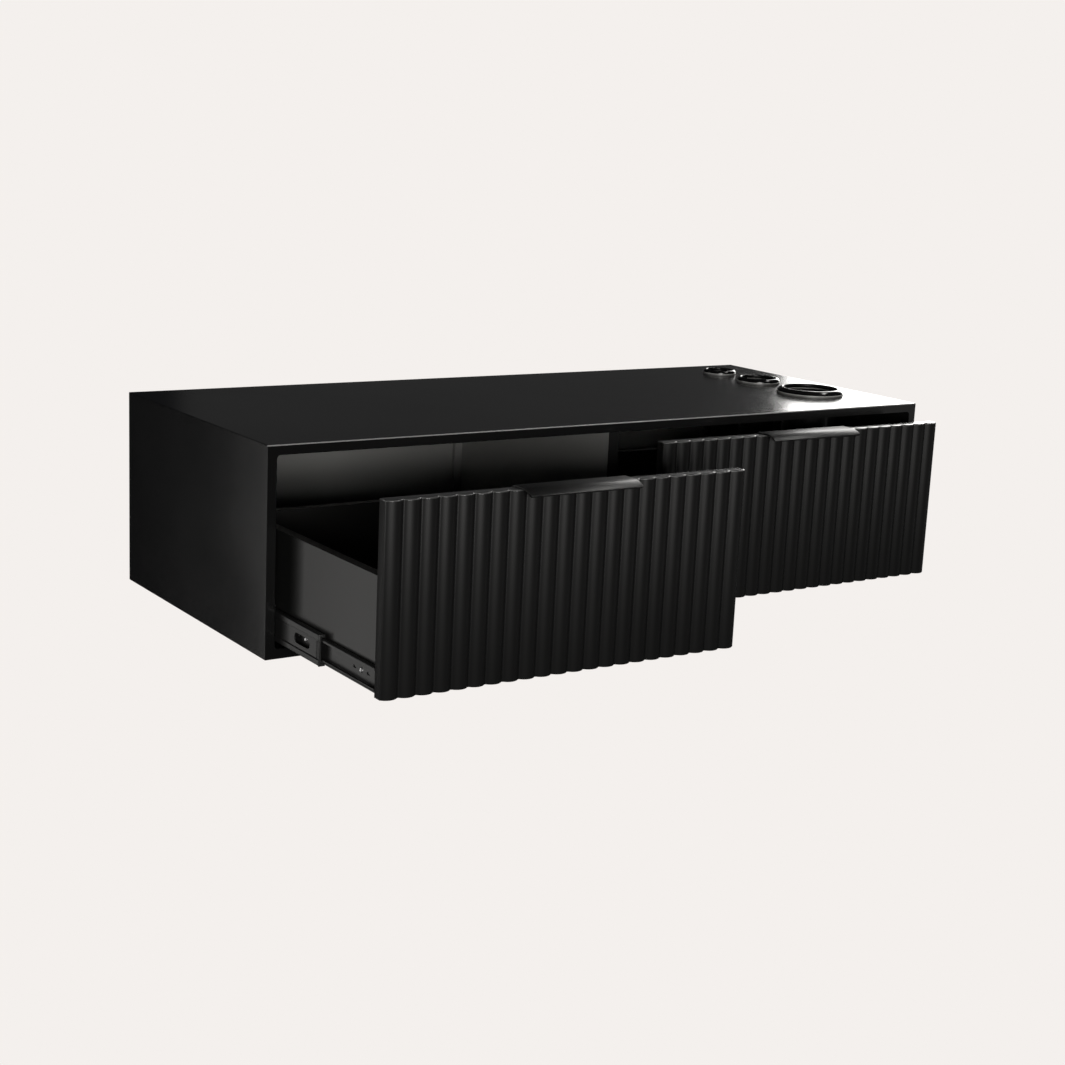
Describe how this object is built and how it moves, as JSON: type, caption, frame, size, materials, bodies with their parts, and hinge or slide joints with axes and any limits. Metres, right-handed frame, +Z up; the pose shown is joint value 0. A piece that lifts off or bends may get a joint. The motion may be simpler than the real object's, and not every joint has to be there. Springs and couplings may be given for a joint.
{
  "type": "wall-hung drawer cabinet",
  "caption": "Wall-hung salon station cabinet with side-by-side fluted drawers on ball slides and round tool wells in its top.",
  "frame": {"origin": "on the wall plane, at the middle of the hanging rail's line of screw holes", "axes": "+X to the right seen from the front, +Y towards the wall, +Z up; the drawers open along -Y"},
  "size_m": [1, 0.663, 0.2566],
  "materials": {
    "carcass_satin_black": "satin black lacquer over board",
    "front_satin_black": "satin black lacquer over fluted board",
    "box_satin_black": "satin black foil over board",
    "raw_hardwood": "unfinished hardwood",
    "cup_enamel": "black enamel",
    "ring_gloss_black": "polished black",
    "moulded_black": "moulded black",
    "ball_steel": "bright steel",
    "slide_black_steel": "black coated pressed steel",
    "zinc_screw": "bright zinc plated",
    "mill_aluminium": "mill finish extrusion",
    "pull_black_metal": "satin black powder coat"
  },
  "bodies": {
    "root": {"top_panel": "carcass_satin_black", "bottom_panel": "carcass_satin_black", "left_side_panel": "carcass_satin_black", "right_side_panel": "carcass_satin_black", "back_panel": "carcass_satin_black", "centre_divider": "carcass_satin_black", "divider_battens": "carcass_satin_black", "divider_dowels": "raw_hardwood", "mitre_splines": "raw_hardwood", "wall_rail": "mill_aluminium", "cabinet_rail": "mill_aluminium", "rail_screws": "zinc_screw", "cabinet_slide_screws": "zinc_screw", "large_well_cup": "cup_enamel", "large_well_ring": "ring_gloss_black", "large_well_collar": "moulded_black", "medium_well_cup": "cup_enamel", "medium_well_ring": "ring_gloss_black", "medium_well_collar": "moulded_black", "small_well_cup": "cup_enamel", "small_well_ring": "ring_gloss_black", "small_well_collar": "moulded_black", "left_bay_left_cabinet_member": "slide_black_steel", "left_bay_right_cabinet_member": "slide_black_steel", "right_bay_left_cabinet_member": "slide_black_steel", "right_bay_right_cabinet_member": "slide_black_steel"},
    "left_drawer": {"left_fluted_front": "front_satin_black", "left_edge_pull": "pull_black_metal", "left_pull_screws": "zinc_screw", "left_front_screws": "zinc_screw", "left_drawer_sub_front": "box_satin_black", "left_drawer_back": "box_satin_black", "left_drawer_left_side": "box_satin_black", "left_drawer_right_side": "box_satin_black", "left_drawer_bottom": "box_satin_black", "left_drawer_slide_screws": "zinc_screw", "left_bay_left_drawer_member": "slide_black_steel", "left_bay_right_drawer_member": "slide_black_steel"},
    "left_middle_members": {"left_bay_left_middle_member": "slide_black_steel", "left_bay_right_middle_member": "slide_black_steel", "left_slide_bumpers": "moulded_black"},
    "left_outer_balls": {"left_outer_ball_strips": "ball_steel"},
    "left_inner_balls": {"left_inner_ball_strips": "ball_steel"},
    "right_drawer": {"right_fluted_front": "front_satin_black", "right_edge_pull": "pull_black_metal", "right_pull_screws": "zinc_screw", "right_front_screws": "zinc_screw", "right_drawer_sub_front": "box_satin_black", "right_drawer_back": "box_satin_black", "right_drawer_left_side": "box_satin_black", "right_drawer_right_side": "box_satin_black", "right_drawer_bottom": "box_satin_black", "right_drawer_slide_screws": "zinc_screw", "right_bay_left_drawer_member": "slide_black_steel", "right_bay_right_drawer_member": "slide_black_steel"},
    "right_middle_members": {"right_bay_left_middle_member": "slide_black_steel", "right_bay_right_middle_member": "slide_black_steel", "right_slide_bumpers": "moulded_black"},
    "right_outer_balls": {"right_outer_ball_strips": "ball_steel"},
    "right_inner_balls": {"right_inner_ball_strips": "ball_steel"}
  },
  "joints": [
    {"name": "left_drawer_slide", "type": "slide", "parent": "root", "child": "left_drawer", "axis": [0, -1, 0], "range_m": [-0.24, 0.11]},
    {"name": "left_middle_slide", "type": "slide", "parent": "root", "child": "left_middle_members", "axis": [0, -1, 0], "range_m": [-0.12, 0.055]},
    {"name": "left_outer_ball_travel", "type": "slide", "parent": "root", "child": "left_outer_balls", "axis": [0, -1, 0], "range_m": [-0.06, 0.0275]},
    {"name": "left_inner_ball_travel", "type": "slide", "parent": "root", "child": "left_inner_balls", "axis": [0, -1, 0], "range_m": [-0.18, 0.0825]},
    {"name": "right_drawer_slide", "type": "slide", "parent": "root", "child": "right_drawer", "axis": [0, -1, 0], "range_m": [-0.062, 0.288]},
    {"name": "right_middle_slide", "type": "slide", "parent": "root", "child": "right_middle_members", "axis": [0, -1, 0], "range_m": [-0.031, 0.144]},
    {"name": "right_outer_ball_travel", "type": "slide", "parent": "root", "child": "right_outer_balls", "axis": [0, -1, 0], "range_m": [-0.0155, 0.072]},
    {"name": "right_inner_ball_travel", "type": "slide", "parent": "root", "child": "right_inner_balls", "axis": [0, -1, 0], "range_m": [-0.0465, 0.216]}
  ],
  "couplings": [
    {"joint": "left_middle_slide", "follows": "left_drawer_slide", "ratio": 0.5},
    {"joint": "left_outer_ball_travel", "follows": "left_drawer_slide", "ratio": 0.25},
    {"joint": "left_inner_ball_travel", "follows": "left_drawer_slide", "ratio": 0.75},
    {"joint": "right_middle_slide", "follows": "right_drawer_slide", "ratio": 0.5},
    {"joint": "right_outer_ball_travel", "follows": "right_drawer_slide", "ratio": 0.25},
    {"joint": "right_inner_ball_travel", "follows": "right_drawer_slide", "ratio": 0.75}
  ]
}
